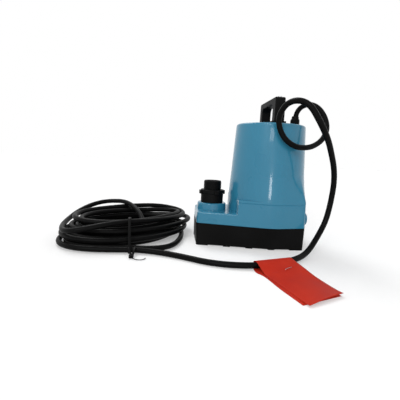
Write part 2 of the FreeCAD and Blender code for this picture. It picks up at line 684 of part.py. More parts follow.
def make_impeller():
    hub = cylinder(9.5, IMPELLER_BOTTOM_Z, IMPELLER_TOP_Z)
    shroud = cylinder(IMPELLER_RADIUS, IMPELLER_TOP_Z - 3.0, IMPELLER_TOP_Z - 0.5)

    def side(offset):
        points = []
        for radius, angle in ((8.0, 0.0), (21.0, -22.0), (IMPELLER_RADIUS - 0.5, -62.0)):
            a = math.radians(angle) + offset / radius
            points.append(v(radius * math.cos(a), radius * math.sin(a), IMPELLER_BOTTOM_Z))
        return points

    near, far = side(-1.3), side(1.3)
    outline = Part.Wire([Part.Arc(*near).toShape(), Part.makeLine(near[2], far[2]),
                         Part.Arc(far[2], far[1], far[0]).toShape(), Part.makeLine(far[0], near[0])])
    vane = extruded(outline, IMPELLER_TOP_Z - 2.0 - IMPELLER_BOTTOM_Z)
    body = hub.fuse([shroud] + around(vane, VANE_COUNT))
    return body.cut(cylinder(4.0, 10.0, 40.0)).removeSplitter()


def make_impeller_nut():
    nut = revolved([(4.0, 11.0), (5.5, 11.0), (7.0, 12.5), (7.0, IMPELLER_BOTTOM_Z),
                    (4.0, IMPELLER_BOTTOM_Z)])
    return nut


def make_thermal_cutout():
    body = box(-9.0, 9.0, 36.0, 45.0, 152.2, 157.4)
    return body.makeFillet(1.5, edges_where(body, lambda e: e.BoundBox.ZLength > 5.0))


def rounded_path(points, share=0.45, report=None):
    """Straight runs joined by tangent arcs, each as large as its two runs allow."""
    points = [v(*p) for p in points]
    edges = []
    radii = []
    start = points[0]
    for i in range(1, len(points) - 1):
        back = points[i - 1] - points[i]
        ahead = points[i + 1] - points[i]
        run = min(back.Length, ahead.Length)
        back.normalize()
        ahead.normalize()
        half_turn = (math.pi - back.getAngle(ahead)) / 2.0
        reach = share * run
        radius = reach / math.tan(half_turn)
        middle = back + ahead
        middle.normalize()
        peak = points[i] + middle * (radius / math.cos(half_turn) - radius)
        enter = points[i] + back * reach
        leave = points[i] + ahead * reach
        edges.append(Part.LineSegment(start, enter).toShape())
        edges.append(Part.Arc(enter, peak, leave).toShape())
        radii.append(radius)
        start = leave
    edges.append(Part.LineSegment(start, points[-1]).toShape())
    if report:
        print(report, "arc radii", [round(r) for r in radii])
    return Part.Wire(edges)


def tube(path, radius):
    first = path.Edges[0]
    start = first.valueAt(first.FirstParameter)
    direction = first.tangentAt(first.FirstParameter)
    profile = Part.Wire(Part.makeCircle(radius, start, direction))
    return path.makePipeShell([profile], True, False)


def make_motor_leads():
    leads = []
    for offset in (-3.6, 0.0, 3.6):
        route = [(GLAND_X, offset, 213.0), (GLAND_X, offset, 198.0),
                 (GLAND_X - 3.0, offset * 1.5, 182.0), (GLAND_X - 9.0, offset * 2.0 + 3.0, 167.0),
                 (GLAND_X - 9.0, offset * 2.0 + 3.0, 152.4)]
        leads.append(tube(rounded_path(route), 1.3))
    return leads


def make_cord_lead():
    path = rounded_path(CORD_ROUTE, report="cord_lead")
    solid = tube(path, CORD_RADIUS)
    share = solid.Volume / (math.pi * CORD_RADIUS ** 2 * path.Length)
    print("cord_lead length", round(path.Length), "volume over section times length", round(share, 4))
    return solid


def eased(x):
    x = min(1.0, max(0.0, x))
    return x * x * (3.0 - 2.0 * x)


def inward_steps(turn):
    """How many cord widths the winding lies inside its outermost loop."""
    inner, outer, second_inner = REVERSAL_TURNS
    if turn < inner:
        return turn
    if turn < outer:
        return outer - turn
    if turn < second_inner:
        return turn - outer
    return 2.0 * second_inner - outer - turn


def layer_height(turn):
    """Each climb takes the half turn where the spiral reverses."""
    height = LAYER_HEIGHTS[0]
    for i, reversal in enumerate(REVERSAL_TURNS):
        climb = LAYER_HEIGHTS[i + 1] - LAYER_HEIGHTS[i]
        height += climb * eased((turn - reversal + 0.25) / 0.5)
    return height + 5.0 * eased(turn - 9.6)


def swell(x, start, end):
    """Smooth rise and fall between two values, one high in the middle."""
    if not start < x < end:
        return 0.0
    return math.sin(math.pi * (x - start) / (end - start)) ** 2


def side_share(heading, centre_degrees):
    """1 on one side of the coil, falling to 0 a quarter turn away from it."""
    return max(0.0, math.cos(heading - math.radians(centre_degrees))) ** 2


def loosened(turn, heading):
    """How far the turns lie off their ovals: drawn in at the front right, pushed out at the
    back right, and the first one swung forward on the floor beside the incoming cord."""
    drawn_in, out_x, out_y = [row[1:] for row in LOOSE_SIDES if turn < row[0]][0]
    back_right = side_share(heading, BACK_RIGHT)
    front_right = side_share(heading, FRONT_RIGHT)
    swing = swell(turn, *FIRST_SWING)
    return (out_x * back_right - drawn_in * front_right + SWING_REACH[0] * swing,
            out_y * back_right + SWING_REACH[1] * swing)


def coil_point(turn):
    """Centre line of the winding: slanting ovals, the upper ones smaller and shifted."""
    angle = math.radians(START_ANGLE - 360.0 * turn)
    upper = eased(turn - UPPER_FROM)
    lean = math.radians(OVAL_LEAN + UPPER_LEAN * upper)
    heading = angle + lean
    spread = COIL_FAN * (1.0 - upper) + UPPER_FAN
    inward = inward_steps(turn) * (COIL_STEP + spread * (1.0 + math.sin(heading)) / 2.0)
    for first, last, bulge in (ENTRY_BULGE, RETURN_BULGE):
        inward -= bulge * swell(turn, first, last)
    x = (OVAL_REACH[0] - UPPER_SHRINK[0] * upper - inward) * math.cos(angle)
    y = (OVAL_REACH[1] - UPPER_SHRINK[1] * upper - inward) * math.sin(angle)
    loose_x, loose_y = loosened(turn, heading)
    middle_x = OVAL_MIDDLE[0] + UPPER_SHIFT[0] * upper + loose_x
    middle_y = OVAL_MIDDLE[1] + UPPER_SHIFT[1] * upper + loose_y
    return v(middle_x + x * math.cos(lean) - y * math.sin(lean),
             middle_y + x * math.sin(lean) + y * math.cos(lean), layer_height(turn))


def arc_to(start, corner, end):
    """Arc from start to end, tangent to the two equal lines that meet at the corner."""
    reach = (corner - start).Length
    middle = (start + end) * 0.5 - corner
    half_turn = (math.pi - (start - corner).getAngle(end - corner)) / 2.0
    if half_turn < 0.002:
        return Part.makeLine(start, end)
    middle.normalize()
    peak = corner + middle * (reach * math.tan(half_turn / 2.0))
    return Part.Arc(start, peak, end).toShape()


def biarc(start, start_way, end, end_way):
    chord = end - start
    a = 2.0 * (1.0 - start_way.dot(end_way))
    b = 2.0 * chord.dot(start_way + end_way)
    c = -chord.dot(chord)
    reach = -c / b if a < 1e-9 else (math.sqrt(b * b - 4.0 * a * c) - b) / (2.0 * a)
    first = start + start_way * reach
    second = end - end_way * reach
    joint = (first + second) * 0.5
    return [arc_to(start, first, joint), arc_to(joint, second, end)]


def unit(direction):
    direction.normalize()
    return direction


def knot_turns():
    """Where the arcs meet: every eighth of the first turn with its swing, then every quarter."""
    eighths = [(i + 0.5) / 8.0 for i in range(10)]
    quarters = [(i + 0.5) / 4.0 for i in range(5, int(4.0 * COIL_TURNS))]
    return eighths + quarters


def coil_path():
    """The winding and the last stretch, as arcs that run into each other."""
    knots = []
    ways = []
    lead_end = v(*CORD_ROUTE[-1])
    lead_way = unit(lead_end - v(*CORD_ROUTE[-2]))
    straight = 2.0 * CORD_RADIUS
    knots.append(lead_end + lead_way * straight)
    ways.append(lead_way)
    for turn in knot_turns():
        knots.append(coil_point(turn))
        ways.append(unit(coil_point(turn + 0.01) - coil_point(turn - 0.01)))
    tail = [knots[-1]] + [v(*point) for point in COIL_TAIL]
    for i in range(1, len(tail) - 2):
        knots.append((tail[i] + tail[i + 1]) * 0.5)
        ways.append(unit(tail[i + 1] - tail[i]))
    last_way = unit(tail[-1] - tail[-2])
    knots.append(tail[-1] - last_way * straight)
    ways.append(last_way)
    edges = [Part.makeLine(lead_end, knots[0])]
    for i in range(len(knots) - 1):
        edges += biarc(knots[i], ways[i], knots[i + 1], ways[i + 1])
    edges.append(Part.makeLine(knots[-1], tail[-1]))
    return Part.Wire(edges)


def least_gap(path, radius, step=5.0, apart=60.0):
    """Clear distance of a tube to itself, measured on points along its centre line."""
    points = path.discretize(Distance=step)
    skip = int(apart / step)
    least = 1e9
    for i in range(len(points)):
        x, y, z = points[i].x, points[i].y, points[i].z
        for other in points[i + skip:]:
            far = (other.x - x) ** 2 + (other.y - y) ** 2 + (other.z - z) ** 2
            if far < least:
                least = far
    return math.sqrt(least) - 2.0 * radius


def make_cord_coil():
    path = coil_path()
    solid = tube(path, CORD_RADIUS)
    radii = [edge.Curve.Radius for edge in path.Edges if hasattr(edge.Curve, "Radius")]
    share = solid.Volume / (math.pi * CORD_RADIUS ** 2 * path.Length)
    print("cord_coil length", round(path.Length), "smallest radius", round(min(radii)),
          "least gap", round(least_gap(path, CORD_RADIUS), 2), "volume share", round(share, 4))
    return solid


def band_wire(centres, radius):
    """Tight closed band at a distance from a convex ring of points, in the Y-Z plane."""
    count = len(centres)
    points = [v(TIE_X, y, z) for y, z in centres]
    normals = []
    for i in range(count):
        way = unit(points[(i + 1) % count] - points[i])
        normals.append(v(0.0, way.z, -way.y))
    edges = []
    for i in range(count):
        ahead = points[(i + 1) % count]
        normal = normals[i]
        next_normal = normals[(i + 1) % count]
        middle = unit(normal + next_normal)
        edges.append(Part.makeLine(points[i] + normal * radius, ahead + normal * radius))
        edges.append(Part.Arc(ahead + normal * radius, ahead + middle * radius,
                              ahead + next_normal * radius).toShape())
    return Part.Wire(edges)


def make_coil_tie():
    """Band drawn round the bundle, with its lock in front and a short cut end."""
    outside = Part.Face(band_wire(TIE_CORNERS, TIE_INSIDE_RADIUS + TIE_THICKNESS))
    inside = Part.Face(band_wire(TIE_CORNERS, TIE_INSIDE_RADIUS))
    band = outside.cut(inside).extrude(v(TIE_WIDTH, 0.0, 0.0))
    band.translate(v(-TIE_WIDTH / 2.0, 0.0, 0.0))
    front = TIE_CORNERS[0][0] - TIE_INSIDE_RADIUS
    lock = box(TIE_X - 4.2, TIE_X + 4.2, front - 6.5, front - 0.4, 2.5, 9.5)
    lock = lock.makeFillet(1.2, lock.Edges)
    end = box(TIE_X - 2.4, TIE_X + 2.4, front - 15.0, front - 6.0, 5.4, 6.6)
    return band.fuse([lock, end]).removeSplitter()


def make_cord_tag():
    """Blank tag folded over the cord, its two leaves lying towards the front and a little apart."""
    sheet = TAG_THICKNESS
    back = -TAG_BACK
    top = TAG_FOLD_HEIGHT
    reach = TAG_LENGTH + 15.0
    outside = [(reach, 0.0, 0.3), (back, 0.0, 4.5), (back, top, 5.0), (8.0, top, 9.0),
               (36.0, 2.8, 24.0), (reach, TAG_FRONT_HEIGHT, 0.3)]
    tunnel = [(26.0, sheet, 2.0), (back + sheet, sheet, 4.5 - sheet),
              (back + sheet, top - sheet, 5.0 - sheet), (7.6, top - sheet, 9.0 - sheet)]
    parting = [v(34.0, sheet), v(reach + 1.0, sheet), v(reach + 1.0, TAG_FRONT_HEIGHT - sheet)]
    leaves = extruded(rounded_wire(outside, 0.0), TAG_WIDTH)
    leaves = leaves.cut([extruded(rounded_wire(tunnel, -1.0), TAG_WIDTH + 2.0),
                         extruded(Part.makePolygon(parting + parting[:1]), TAG_WIDTH)])
    leaves.rotate(v(0.0, 0.0, 0.0), v(1.0, 0.0, 0.0), 90.0)
    leaves.translate(v(0.0, TAG_WIDTH / 2.0, 0.0))
    waste = box(0.0, 60.0, -TAG_WIDTH, TAG_WIDTH, -1.0, 20.0)
    waste.rotate(v(0.0, 0.0, 0.0), v(0.0, 0.0, 1.0), TAG_END_SLANT)
    waste.translate(v(TAG_LENGTH, 0.0, 0.0))
    leaves = leaves.cut(waste)
    leaves.rotate(v(0.0, 0.0, 0.0), v(0.0, 0.0, 1.0), TAG_ANGLE - 90.0)
    leaves.translate(v(TAG_MIDDLE[0], TAG_MIDDLE[1], 0.0))
    return leaves


def placed_on_cord_end(shape):
    """Move a shape built along +X from the origin to the end of the cord."""
    way = v(*COIL_TAIL[-1]) - v(*COIL_TAIL[-2])
    shape = shape.copy()
    shape.rotate(v(0.0, 0.0, 0.0), v(0.0, 0.0, 1.0), math.degrees(math.atan2(way.y, way.x)))
    shape.translate(v(*COIL_TAIL[-1]))
    return shape


def rounded_section(x, width, height, radius):
    corners = [(-width / 2.0, -height / 2.0, radius), (width / 2.0, -height / 2.0, radius),
               (width / 2.0, height / 2.0, radius), (-width / 2.0, height / 2.0, radius)]
    wire = rounded_wire(corners, 0.0)
    wire.rotate(v(0.0, 0.0, 0.0), v(1.0, 0.0, 0.0), 90.0)
    wire.rotate(v(0.0, 0.0, 0.0), v(0.0, 0.0, 1.0), 90.0)
    wire.translate(v(x, 0.0, 0.0))
    return wire


def make_power_plug():
    relief = Part.makeCone(6.0, 7.5, 13.0, v(0.0, 0.0, 0.0), v(1.0, 0.0, 0.0))
    back = Part.makeLoft([rounded_section(12.0, 15.0, 14.0, 5.0),
                          rounded_section(18.0, 24.0, 22.0, 7.0)], True, True)
    front = Part.makeLoft([rounded_section(18.0, 24.0, 22.0, 7.0),
                           rounded_section(PLUG_FACE, 28.0, 24.0, 7.0)], True, True)
    body = relief.fuse([back, front])
    for x in (22.0, 26.0, 30.0):
        for y in (-15.0, 12.2):
            body = body.cut(box(x, x + 1.6, y, y + 2.8, -7.0, 7.0))
    return placed_on_cord_end(body.removeSplitter())


def make_plug_blades():
    blades = [box(PLUG_FACE, PLUG_FACE + 17.0, y - 0.75, y + 0.75, -1.0, 5.3)
              for y in (-6.35, 6.35)]
    ground = Part.makeCylinder(2.4, 20.0, v(PLUG_FACE, 0.0, -6.5), v(1.0, 0.0, 0.0))
    ground = ground.makeFillet(1.6, edges_where(
        ground, lambda e: len(e.Vertexes) == 1 and abs(e.BoundBox.XMin - PLUG_FACE - 20.0) < 0.01))
    return [placed_on_cord_end(one) for one in blades + [ground]]


def parts():
    return {
        "motor_cover": make_motor_cover,
        "pump_casing": make_pump_casing,
        "pump_base": make_pump_base,
        "inlet_screen": make_inlet_screen,
        "base_screws": make_base_screws,
        "cover_screws": make_cover_screws,
        "cover_gasket": make_cover_gasket,
        "oil_plug": make_oil_plug,
        "discharge_fitting": make_discharge_fitting,
        "discharge_seal": make_discharge_seal,
        "handle": make_handle,
        "handle_screws": make_handle_screws,
        "cord_gland": make_cord_gland,
        "gland_seal": make_gland_seal,
        "shaft": make_shaft,
        "rotor_core": make_rotor_core,
        "rotor_cage": make_rotor_cage,
        "stator_core": make_stator_core,
        "stator_coils": make_stator_coils,
        "shading_rings": shading_loops,
        "lower_bracket": make_lower_bracket,
        "upper_bracket": make_upper_bracket,
        "lower_bearing": make_lower_bearing,
        "upper_bearing": make_upper_bearing,
        "thrust_washer": make_thrust_washer,
        "stator_spacers": make_stator_spacers,
        "stator_screws": make_stator_screws,
        "seal_seat": make_seal_seat,
        "seal_head": make_seal_head,
        "seal_spring": make_seal_spring,
        "impeller": make_impeller,
        "impeller_nut": make_impeller_nut,
        "thermal_cutout": make_thermal_cutout,
        "motor_leads": make_motor_leads,
        "cord_lead": make_cord_lead,
        "cord_coil": make_cord_coil,
        "coil_tie": make_coil_tie,
        "cord_tag": make_cord_tag,
        "power_plug": make_power_plug,
        "plug_blades": make_plug_blades,
    }


def main():
    os.makedirs("parts", exist_ok=True)
    for name, make in parts().items():
        made = make()
        if isinstance(made, list):
            shape = Part.makeCompound(made)
        else:
            shape = made
        solids = shape.Solids
        bad = [s for s in solids if not s.isValid() or s.Volume <= 0.0]
        print(name, "solids", len(solids), "volume", round(shape.Volume), "bad", len(bad))
        shape.exportStep("parts/" + name + ".step")


main()
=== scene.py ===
import json
import math

import bpy
from mathutils import Matrix, Vector


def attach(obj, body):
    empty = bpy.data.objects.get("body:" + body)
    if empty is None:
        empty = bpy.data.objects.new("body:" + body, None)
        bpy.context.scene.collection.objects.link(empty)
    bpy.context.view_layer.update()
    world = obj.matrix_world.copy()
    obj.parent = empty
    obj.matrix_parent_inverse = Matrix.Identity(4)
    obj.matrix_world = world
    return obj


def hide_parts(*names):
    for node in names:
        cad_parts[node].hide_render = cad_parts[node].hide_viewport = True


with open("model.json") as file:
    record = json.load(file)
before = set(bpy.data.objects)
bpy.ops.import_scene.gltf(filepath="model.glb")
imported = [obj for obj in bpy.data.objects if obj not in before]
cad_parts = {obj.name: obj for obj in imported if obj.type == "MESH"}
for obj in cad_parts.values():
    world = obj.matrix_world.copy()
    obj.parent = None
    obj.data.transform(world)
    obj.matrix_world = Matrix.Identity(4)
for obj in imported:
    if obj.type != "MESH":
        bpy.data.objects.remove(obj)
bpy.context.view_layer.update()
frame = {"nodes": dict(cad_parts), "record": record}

# Everything is in metres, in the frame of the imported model.
PUMP = "pump"
TAU = 2.0 * math.pi

# Camera: the photograph's place and lens; lens and sensor in millimetres
CAMERA_PLACE = (-0.1768, -0.5933, 0.1653)
CAMERA_AHEAD = (0.0803, 0.9860, -0.1460)
CAMERA_RIGHT = (0.9961, -0.0740, 0.0479)
CAMERA_LENS = 27.75
CAMERA_SENSOR = 36.0
CAMERA_NEAREST = 0.02

# Cord: the route and the winding of the solid model, fitted closer to the photograph by up to 10 mm
CORD_RADIUS = 0.00475
LEAD_ROUTE = [
    (0.047, 0.0, 0.233), (0.0471, -0.0003, 0.2465), (0.0503, -0.003, 0.2583), (0.0574, -0.009, 0.2655),
    (0.0665, -0.0175, 0.2674), (0.0762, -0.027, 0.2617), (0.0833, -0.036, 0.2502), (0.0882, -0.044, 0.2345),
    (0.088, -0.05, 0.218), (0.081, -0.0545, 0.204), (0.068, -0.061, 0.193), (0.048, -0.071, 0.185),
    (0.0195, -0.08, 0.185), (-0.0035, -0.081, 0.2015), (-0.014, -0.081, 0.2315), (-0.005, -0.103, 0.256),
    (0.016, -0.13, 0.252), (0.0375, -0.132, 0.221), (0.059, -0.118, 0.197), (0.075, -0.102, 0.175),
    (0.088, -0.09, 0.153), (0.0945, -0.083, 0.128), (0.0953, -0.079, 0.104), (0.0928, -0.079, 0.081),
    (0.0873, -0.081, 0.058), (0.073, -0.089, 0.035), (0.0465, -0.11, 0.009), (0.013, -0.136, 0.0059),
    (-0.02, -0.1495, 0.0059), (-0.06, -0.1645, 0.0059), (-0.118, -0.154, 0.00475),
    (-0.165, -0.1235, 0.00475), (-0.203, -0.1065, 0.0054), (-0.231, -0.102, 0.0063)]
COIL_START = (-0.241, -0.1008, 0.0063)
COIL_TAIL = [
    (-0.312, -0.091, 0.039), (-0.34, -0.093, 0.033), (-0.362, -0.078, 0.029), (-0.373, -0.05, 0.028),
    (-0.381, -0.018, 0.027), (-0.384, 0.016, 0.028), (-0.377, 0.05, 0.0365), (-0.36, 0.08, 0.0455),
    (-0.337, 0.099, 0.0515), (-0.311, 0.104, 0.0535), (-0.286, 0.092, 0.0545), (-0.265, 0.068, 0.049),
    (-0.25, 0.044, 0.0405), (-0.241, 0.024, 0.03), (-0.237, 0.004, 0.019), (-0.243, -0.011, 0.013),
    (-0.257, -0.02, 0.012), (-0.273, -0.024, 0.012)]

# Winding: its layers, and the turns at which it climbs to the next layer and winds back over the last
COIL_TURNS = 11.07
POINTS_PER_TURN = 14
LAYER_HEIGHTS = [0.0063, 0.0166, 0.0276, 0.0389]
REVERSAL_TURNS = [3.25, 6.5, 9.0]
CLIMB_TURNS = 0.5

# Distance between turns; at the back they fan out by FAN, and the lower ones by LOWER_FAN more
COIL_STEP = 0.0109
FAN = 0.0021
LOWER_FAN = 0.006

# Ovals of the winding, angles in degrees; the upper turns are smaller and lie further left
START_ANGLE = -115.0
OVAL_MIDDLE = (-0.262, 0.012)
OVAL_REACH = (0.135, 0.097)
OVAL_LEAN = 32.0
UPPER_FROM = 6.3
UPPER_SHIFT = (-0.012, 0.004)
UPPER_SHRINK = (0.023, 0.013)
UPPER_LEAN = 4.0

# Looseness: (up to this turn, drawn in at the front right, pushed out at the back right in x and y)
LOOSE_SIDES = [(1.3, 0.022, 0.005, 0.004), (2.3, 0.016, 0.004, 0.003), (3.3, 0.011, 0.0, 0.0),
               (6.2, 0.009, 0.005, 0.004), (9.0, 0.009, 0.020, 0.005), (99.0, 0.009, 0.037, 0.020)]
BACK_RIGHT = 35.0
FRONT_RIGHT = -5.0

# The end of the first turn swings out to the front, between these turns and by this much in x and y
FIRST_SWING = (0.67, 1.04)
SWING_REACH = (0.013, -0.053)

# Places where a turn runs outside its oval: (first turn, last turn, distance)
ENTRY_BULGE = (-0.03, 0.235, 0.0115)
RETURN_BULGE = (1.01, 1.25, 0.0090)

# The last turns lie higher, with rises and sags of their own: (first turn, last turn, rise)
UPPER_RISES = [(9.3, 9.8, -0.0010), (10.1, 10.42, 0.0010), (10.44, 10.7, 0.0038), (10.5, 11.0, -0.0085)]
LAST_RISE = 0.005
LAST_RISE_FROM = 9.6

# Tie round the coil: corners round the middles of the bundle's strands as (y, z), in an upright plane
# that slants a little; the band bends round them in steps given in radians
TIE_X = -0.2465
TIE_FRONT = -0.108
TIE_SLANT = -0.16
TIE_CORNERS = [(-0.102, 0.0065), (-0.0507, 0.0064), (-0.0354, 0.0320), (-0.0461, 0.0410),
               (-0.0577, 0.0446), (-0.0622, 0.0446)]
TIE_INSIDE_RADIUS = 0.0051
TIE_BEND_STEP = 0.22
TIE_WIDTH = 0.0048
TIE_THICKNESS = 0.0012
TIE_EDGE = 0.0003

# Loop of the tie in front of the coil: two legs, the lock and a thin tail
TIE_LEGS = [[(-0.2490, -0.1072, 0.0118), (-0.2478, -0.1110, 0.0095), (-0.2445, -0.1170, 0.0045)],
            [(-0.2385, -0.1030, 0.0122), (-0.2390, -0.1100, 0.0110), (-0.2400, -0.1170, 0.0045)]]
TIE_LEG_WIDTH = 0.0032
LOCK_PLACE = (-0.2420, -0.1225, 0.0034)
LOCK_SIZE = (0.0070, 0.0120, 0.0050)
LOCK_BEVEL = 0.0009
TIE_TAIL = [(-0.2415, -0.1285, 0.0030), (-0.2380, -0.1315, 0.0016), (-0.2290, -0.1350, 0.0012),
            (-0.2215, -0.1320, 0.0012), (-0.2196, -0.1260, 0.0014)]
TAIL_WIDTH = 0.0008
TAIL_THICKNESS = 0.0014
TAIL_EDGE = 0.0002

# Tag on the lead, its edges in its own frame: along the fold, away from it, up
TAG_MIDDLE = (-0.022, -0.1495)
TAG_ANGLE = math.radians(17.5)
TAG_THICKNESS = 0.0004
TAG_COLUMNS = 26
TAG_POINTS_PER_RUN = 7

# The upper leaf's wave grows from this distance off the fold over this length; the lower leaf lies flat
TAG_WAVE = 0.0010
TAG_WAVE_FROM = 0.030
TAG_WAVE_LENGTH = 0.080
LOWER_LEAF_TOP = 0.0006
TAG_LEFT_EDGE = [
    (-0.0416, 0.1163, 0.0004), (-0.0413, 0.095, 0.0004), (-0.0406, 0.068, 0.0004),
    (-0.038, 0.046, 0.0004), (-0.037, 0.027, 0.0004), (-0.0415, 0.016, 0.0006),
    (-0.0385, 0.004, 0.0005), (-0.034, -0.004, 0.0007), (-0.033, -0.0070, 0.0035),
    (-0.033, -0.0068, 0.0090), (-0.033, -0.0035, 0.0114), (-0.0331, 0.0014, 0.0117),
    (-0.0335, 0.0085, 0.0096), (-0.0336, 0.014, 0.0066), (-0.0338, 0.021, 0.0035),
    (-0.0341, 0.027, 0.0014), (-0.034, 0.036, 0.0010), (-0.034, 0.050, 0.0009),
    (-0.034, 0.073, 0.0009), (-0.0352, 0.096, 0.0009), (-0.037, 0.112, 0.0013),
    (-0.0379, 0.1227, 0.003)]
TAG_RIGHT_EDGE = [
    (0.0225, 0.110, 0.0004), (0.024, 0.092, 0.0004), (0.026, 0.066, 0.0004),
    (0.0275, 0.045, 0.0004), (0.029, 0.027, 0.0004), (0.030, 0.016, 0.0005),
    (0.031, 0.004, 0.0005), (0.032, -0.004, 0.0007), (0.032, -0.0070, 0.0035),
    (0.032, -0.0070, 0.0090), (0.032, -0.004, 0.0114), (0.0319, -0.0004, 0.0117),
    (0.0314, 0.007, 0.0108), (0.0308, 0.0142, 0.0097), (0.0302, 0.022, 0.0089),
    (0.0296, 0.029, 0.0083), (0.0292, 0.035, 0.0077), (0.0277, 0.0555, 0.0049),
    (0.0259, 0.0785, 0.0041), (0.0246, 0.095, 0.0040), (0.0238, 0.105, 0.0043),
    (0.0234, 0.1118, 0.0050)]
STAPLE_ENDS = [(0.0, 0.028, 0.0068), (0.013, 0.025, 0.0078)]
STAPLE_DEPTH = 0.0012
STAPLE_BEND = 0.1
STAPLE_WIDTH = 0.0006
STAPLE_THICKNESS = 0.0005
STAPLE_EDGE = 0.0001

# Thread of the discharge fitting; its ridge is sunk into the barrel by its foot and fades at its ends
DISCHARGE_X = -0.1055
THREAD_RADIUS = 0.0165
THREAD_LOW = 0.1018
THREAD_HIGH = 0.1152
THREAD_PITCH = 0.00221
THREAD_STEPS = 56
THREAD_FOOT_DEPTH = 0.0004
THREAD_FOOT_REACH = 0.00085
THREAD_CREST_REACH = 0.00018
THREAD_CREST_DEPTH = 0.0002
THREAD_CREST_RISE = 0.0008
THREAD_FADE_TURNS = 0.5

# Floor and world: the light that they throw on the object, and what rays that show them see
FLOOR_REACH = 6.0
FLOOR_GREY = 0.72
FLOOR_GLOW = 0.30
WORLD_LIGHT = 0.62
WORLD_SEEN = 1.0

# Even light: (name, direction it comes from, strength, softness in degrees)
SUNS = [("front", (-0.50, -1.0, 0.55), 1.0, 25.0), ("top", (-0.35, 0.65, 1.0), 1.0, 26.0)]

# Small lamps that show in the paint: (name, place, target, width, height, watts)
LAMPS = [("streak", (-0.05, -1.067, 0.147), (-0.012, -0.070, 0.113), 0.13, 0.105, 0.66),
         ("window", (-0.175, -1.04, 0.393), (-0.015, -0.064, 0.204), 0.22, 0.06, 0.25)]


def eased(x):
    """0 to 1 as x goes from 0 to 1, with a soft start and end."""
    x = min(1.0, max(0.0, x))
    return x * x * (3.0 - 2.0 * x)


def swell(x, start, end):
    """Hump of height 1 between start and end, 0 outside them."""
    if not start < x < end:
        return 0.0
    return math.sin(math.pi * (x - start) / (end - start)) ** 2


def link(obj):
    bpy.context.scene.collection.objects.link(obj)
    return obj


def mesh_object(name, points, faces, smooth=True):
    mesh = bpy.data.meshes.new(name)
    mesh.from_pydata([tuple(p) for p in points], [], faces)
    mesh.validate()
    mesh.polygons.foreach_set("use_smooth", [smooth] * len(mesh.polygons))
    mesh.update()
    return link(bpy.data.objects.new(name, mesh))


def rides(obj, material, replaced=()):
    """Common ending of each piece: its material, its body and what it stands for."""
    obj.data.materials.append(material)
    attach(obj, PUMP)
    if replaced:
        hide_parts(*replaced)
    return obj


# Camera at the photograph's place

def make_camera():
    data = bpy.data.cameras.new("camera")
    data.sensor_width = CAMERA_SENSOR
    data.lens = CAMERA_LENS
    data.clip_start = CAMERA_NEAREST
    camera = link(bpy.data.objects.new("camera", data))
    ahead = Vector(CAMERA_AHEAD).normalized()
    right = Vector(CAMERA_RIGHT)
    right = (right - ahead * right.dot(ahead)).normalized()
    up = right.cross(ahead)
    rotation = Matrix((right, up, -ahead)).transposed().to_4x4()
    camera.matrix_world = Matrix.Translation(CAMERA_PLACE) @ rotation
    bpy.context.scene.camera = camera


# Cord

def inward_steps(turn):
    """How many steps a turn lies inside the outer one; each layer winds back over the one below."""
    inner, outer, second_inner = REVERSAL_TURNS
    if turn < inner:
        return turn
    if turn < outer:
        return outer - turn
    if turn < second_inner:
        return turn - outer
    return 2.0 * second_inner - outer - turn


def layer_height(turn):
    """Height of the cord's middle: a climb at each reversal, then the rises of the last turns."""
    height = LAYER_HEIGHTS[0]
    for i, reversal in enumerate(REVERSAL_TURNS):
        climb = LAYER_HEIGHTS[i + 1] - LAYER_HEIGHTS[i]
        height += climb * eased((turn - reversal + CLIMB_TURNS / 2.0) / CLIMB_TURNS)
    for first, last, rise in UPPER_RISES:
        height += rise * swell(turn, first, last)
    return height + LAST_RISE * eased(turn - LAST_RISE_FROM)


def side_share(heading, centre_degrees):
    """1 on one side of the coil, falling to 0 a quarter turn away from it."""
    return max(0.0, math.cos(heading - math.radians(centre_degrees))) ** 2


def loosened(turn, heading):
    """How far the turns lie off their ovals."""
    drawn_in, out_x, out_y = [row[1:] for row in LOOSE_SIDES if turn < row[0]][0]
    back_right = side_share(heading, BACK_RIGHT)
    front_right = side_share(heading, FRONT_RIGHT)
    swing = swell(turn, *FIRST_SWING)
    return (out_x * back_right - drawn_in * front_right + SWING_REACH[0] * swing,
            out_y * back_right + SWING_REACH[1] * swing)


def coil_point(turn):
    """Point of the winding after this many turns: ovals that lean, fan out and lie loosely."""
    angle = math.radians(START_ANGLE - 360.0 * turn)
    upper = eased(turn - UPPER_FROM)
    lean = math.radians(OVAL_LEAN + UPPER_LEAN * upper)
    heading = angle + lean
    spread = LOWER_FAN * (1.0 - upper) + FAN
    inward = inward_steps(turn) * (COIL_STEP + spread * (1.0 + math.sin(heading)) / 2.0)
    for first, last, bulge in (ENTRY_BULGE, RETURN_BULGE):
        inward -= bulge * swell(turn, first, last)
    x = (OVAL_REACH[0] - UPPER_SHRINK[0] * upper - inward) * math.cos(angle)
    y = (OVAL_REACH[1] - UPPER_SHRINK[1] * upper - inward) * math.sin(angle)
    loose_x, loose_y = loosened(turn, heading)
    middle_x = OVAL_MIDDLE[0] + UPPER_SHIFT[0] * upper + loose_x
    middle_y = OVAL_MIDDLE[1] + UPPER_SHIFT[1] * upper + loose_y
    return (middle_x + x * math.cos(lean) - y * math.sin(lean),
            middle_y + x * math.sin(lean) + y * math.cos(lean), layer_height(turn))


def cord_points():
    """Control points from the gland to the plug."""
    count = int(COIL_TURNS * POINTS_PER_TURN)
    coil = [coil_point(i / POINTS_PER_TURN) for i in range(1, count + 1)]
    return LEAD_ROUTE + [COIL_START] + coil + COIL_TAIL


